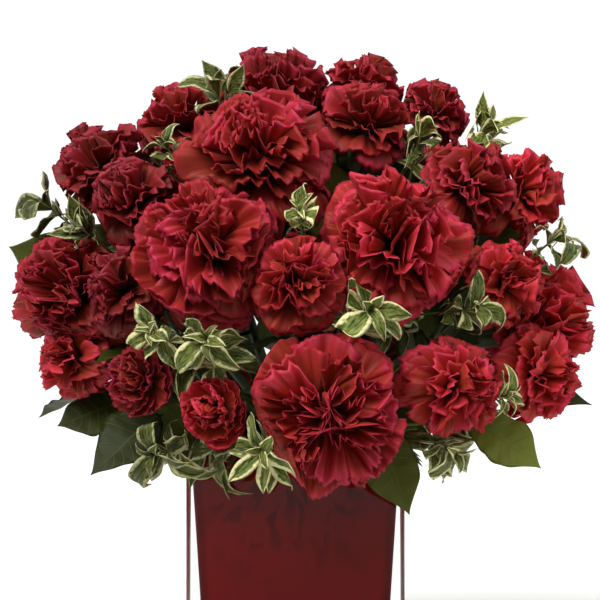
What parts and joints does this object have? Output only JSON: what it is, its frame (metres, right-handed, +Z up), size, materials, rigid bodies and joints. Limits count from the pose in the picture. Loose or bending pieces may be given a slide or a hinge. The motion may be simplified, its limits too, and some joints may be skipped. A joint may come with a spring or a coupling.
{
  "type": "carnation arrangement in a vase",
  "caption": "Domed arrangement of crimson carnations, mini carnations, cream-edged sprigs and broad dark leaves in a square thick-walled glass vase.",
  "frame": {"origin": "centre of the underside of the vase", "axes": "+Z up; the front of the arrangement, as pictured, faces -Y; +X is to the right as seen from the front"},
  "size_m": [0.317, 0.3002, 0.3308],
  "materials": {
    "clear_glass": "polished clear soda-lime glass",
    "ruby_glass": "polished dark ruby glass",
    "floral_foam": "open-cell phenolic foam soaked with water",
    "crimson_petals": "velvety petals",
    "carnation_stem": "waxy stem and cup",
    "variegated_leaf": "green leaf with cream edges",
    "broad_leaf": "half-glossy dark green leaf"
  },
  "bodies": {
    "root": {"bloom_back_low": "crimson_petals", "bloom_front_left": "crimson_petals", "bloom_front_low": "crimson_petals", "bloom_front_right": "crimson_petals", "bloom_upper_left": "crimson_petals", "blooms_back_left": "crimson_petals", "blooms_back_middle": "crimson_petals", "blooms_back_right": "crimson_petals", "blooms_far_left": "crimson_petals", "blooms_far_right": "crimson_petals", "blooms_top": "crimson_petals", "broad_leaves_back": "broad_leaf", "broad_leaves_left": "broad_leaf", "broad_leaves_lower_left": "broad_leaf", "broad_leaves_right": "broad_leaf", "floral_foam": "floral_foam", "mini_bloom_centre": "crimson_petals", "mini_bloom_crown_far_right": "crimson_petals", "mini_bloom_low_right": "crimson_petals", "mini_bloom_side_left": "crimson_petals", "mini_bloom_side_right": "crimson_petals", "mini_blooms_crown_left": "crimson_petals", "mini_blooms_crown_right": "crimson_petals", "mini_blooms_shoulder_right": "crimson_petals", "mini_bud_low_left": "crimson_petals", "mini_bud_low_middle": "crimson_petals", "spray_crown_left": "carnation_stem", "spray_crown_right": "carnation_stem", "spray_low_left": "carnation_stem", "spray_low_right": "carnation_stem", "spray_shoulder_right": "carnation_stem", "sprig_back": "variegated_leaf", "sprig_centre": "variegated_leaf", "sprig_crown_back": "variegated_leaf", "sprig_crown_left": "variegated_leaf", "sprig_crown_right": "variegated_leaf", "sprig_far_left": "variegated_leaf", "sprig_left": "variegated_leaf", "sprig_low_left": "variegated_leaf", "sprig_low_right": "variegated_leaf", "sprig_right": "variegated_leaf", "stem_back_high_left": "carnation_stem", "stem_back_high_right": "carnation_stem", "stem_back_left": "carnation_stem", "stem_back_low_left": "carnation_stem", "stem_back_low_right": "carnation_stem", "stem_back_middle": "carnation_stem", "stem_back_right": "carnation_stem", "stem_back_top": "carnation_stem", "stem_centre": "carnation_stem", "stem_far_left": "carnation_stem", "stem_far_right": "carnation_stem", "stem_front_left": "carnation_stem", "stem_front_low": "carnation_stem", "stem_front_right": "carnation_stem", "stem_low_middle": "carnation_stem", "stem_top": "carnation_stem", "stem_upper_left": "carnation_stem", "vase_glass": "clear_glass", "vase_ruby_layer": "ruby_glass"}
  },
  "joints": []
}
